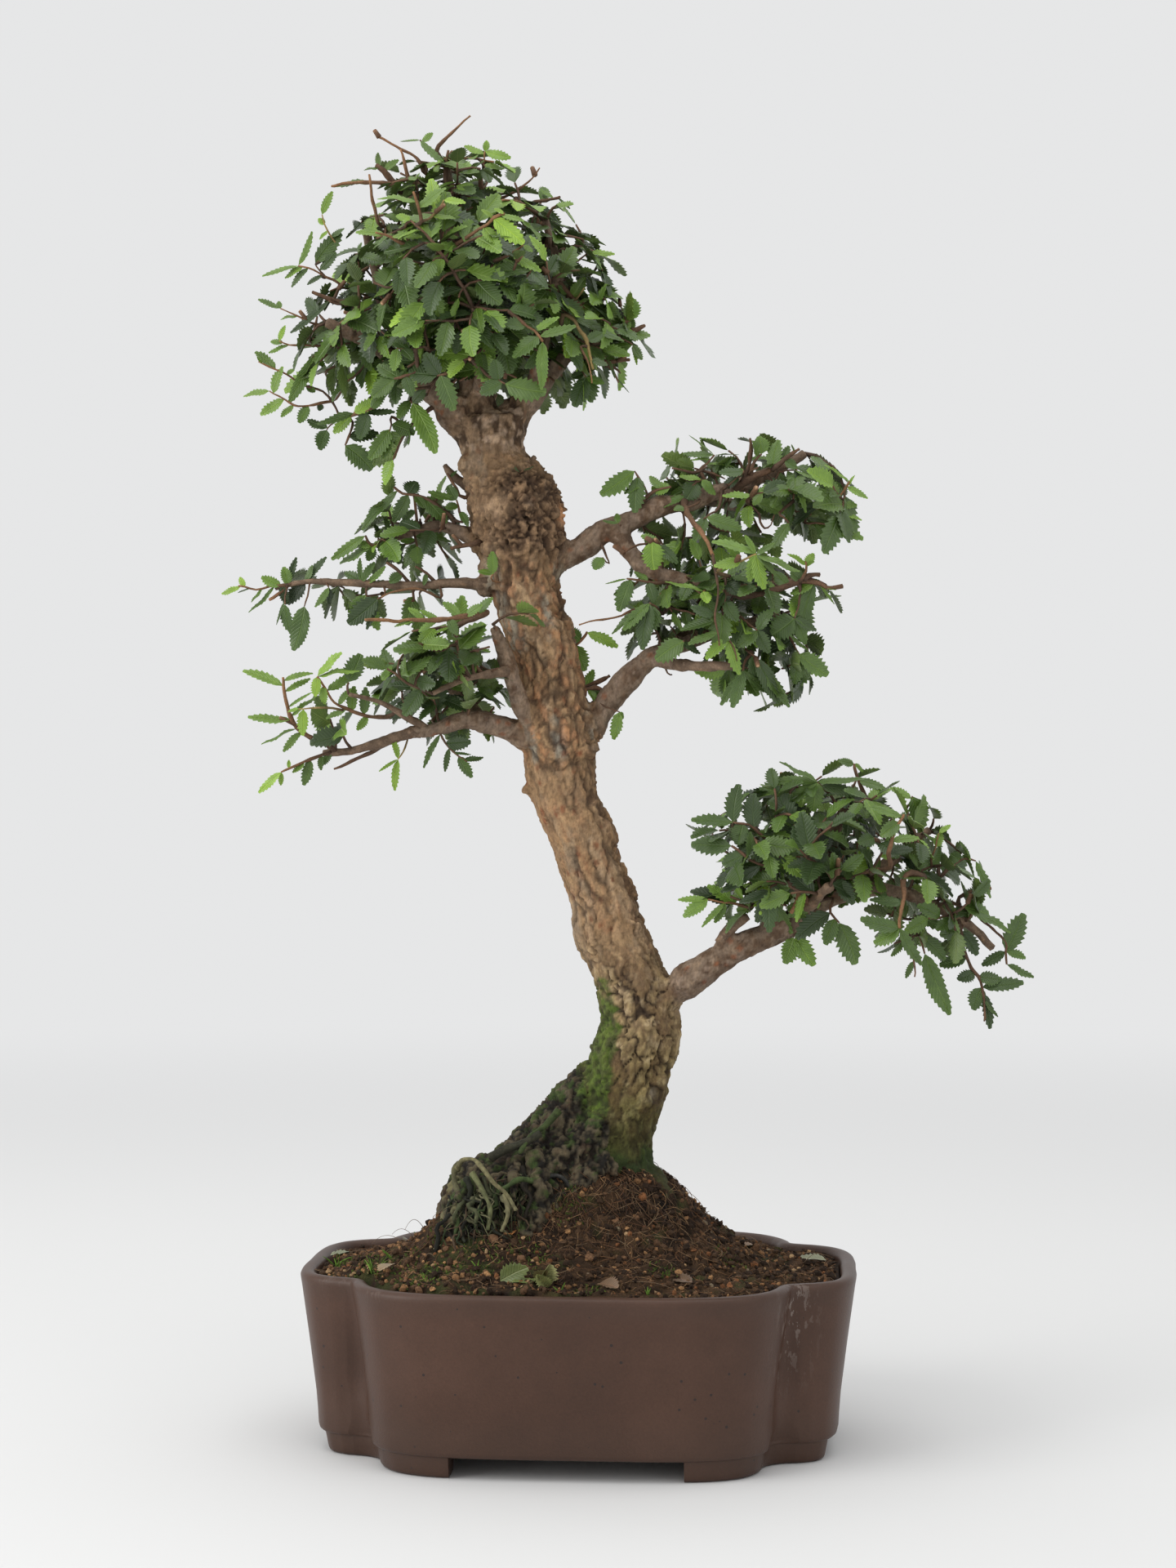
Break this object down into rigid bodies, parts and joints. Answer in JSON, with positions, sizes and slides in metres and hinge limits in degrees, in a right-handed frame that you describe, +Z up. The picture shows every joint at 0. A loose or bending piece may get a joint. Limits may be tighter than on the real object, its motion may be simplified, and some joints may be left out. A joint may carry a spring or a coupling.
{
  "type": "elm bonsai in a ceramic pot",
  "caption": "Informal upright small-leaved elm bonsai with leaf pads on bare branches, planted over a mossy root in a notched oval unglazed pot on corner feet.",
  "frame": {"origin": "middle of the whole plant's box, on the ground under the pot's feet", "axes": "+Z up along the tree; +X to the viewer's right along the pot's long side; +Y away from the viewer"},
  "size_m": [0.277, 0.1478, 0.4533],
  "materials": {
    "pot_clay": "unglazed brown stoneware, satin smooth",
    "potting_mix": "dark damp peat mix with clay granules",
    "bark": "fissured grey-tan bark with moss at the base",
    "elm_leaf": "dark green leaves with a light sheen",
    "bare_wire": "dull grey annealed wire",
    "mesh_plastic": "dark green plastic mesh"
  },
  "bodies": {
    "root": {"pot": "pot_clay", "soil": "potting_mix", "elm_wood": "bark", "anchor_wire": "bare_wire", "drain_mesh_left": "mesh_plastic", "drain_mesh_right": "mesh_plastic", "drain_clip_left": "bare_wire", "drain_clip_right": "bare_wire", "crown_shoot_01": "elm_leaf", "crown_shoot_02": "elm_leaf", "crown_shoot_03": "elm_leaf", "crown_shoot_04": "elm_leaf", "crown_shoot_05": "elm_leaf", "crown_shoot_06": "elm_leaf", "crown_shoot_07": "elm_leaf", "crown_shoot_08": "elm_leaf", "crown_shoot_09": "elm_leaf", "crown_shoot_10": "elm_leaf", "crown_shoot_11": "elm_leaf", "crown_shoot_12": "elm_leaf", "crown_shoot_13": "elm_leaf", "crown_shoot_14": "elm_leaf", "crown_shoot_15": "elm_leaf", "crown_shoot_16": "elm_leaf", "crown_shoot_17": "elm_leaf", "crown_shoot_18": "elm_leaf", "crown_shoot_19": "elm_leaf", "right_top_shoot_1": "elm_leaf", "right_top_shoot_2": "elm_leaf", "right_top_shoot_3": "elm_leaf", "right_top_shoot_4": "elm_leaf", "right_top_shoot_5": "elm_leaf", "right_top_shoot_6": "elm_leaf", "right_mid_shoot_1": "elm_leaf", "right_mid_shoot_2": "elm_leaf", "right_mid_shoot_3": "elm_leaf", "right_mid_shoot_4": "elm_leaf", "low_right_shoot_01": "elm_leaf", "low_right_shoot_02": "elm_leaf", "low_right_shoot_03": "elm_leaf", "low_right_shoot_04": "elm_leaf", "low_right_shoot_05": "elm_leaf", "low_right_shoot_06": "elm_leaf", "low_right_shoot_07": "elm_leaf", "low_right_shoot_08": "elm_leaf", "low_right_shoot_09": "elm_leaf", "low_right_shoot_10": "elm_leaf", "left_low_shoot_1": "elm_leaf", "left_low_shoot_2": "elm_leaf", "left_low_shoot_3": "elm_leaf", "left_low_shoot_4": "elm_leaf", "left_low_shoot_5": "elm_leaf", "left_mid_shoot_1": "elm_leaf", "left_mid_shoot_2": "elm_leaf", "left_mid_shoot_3": "elm_leaf", "left_top_shoot_1": "elm_leaf", "left_top_shoot_2": "elm_leaf", "limb_shoot_1": "elm_leaf", "limb_shoot_2": "elm_leaf"}
  },
  "joints": []
}
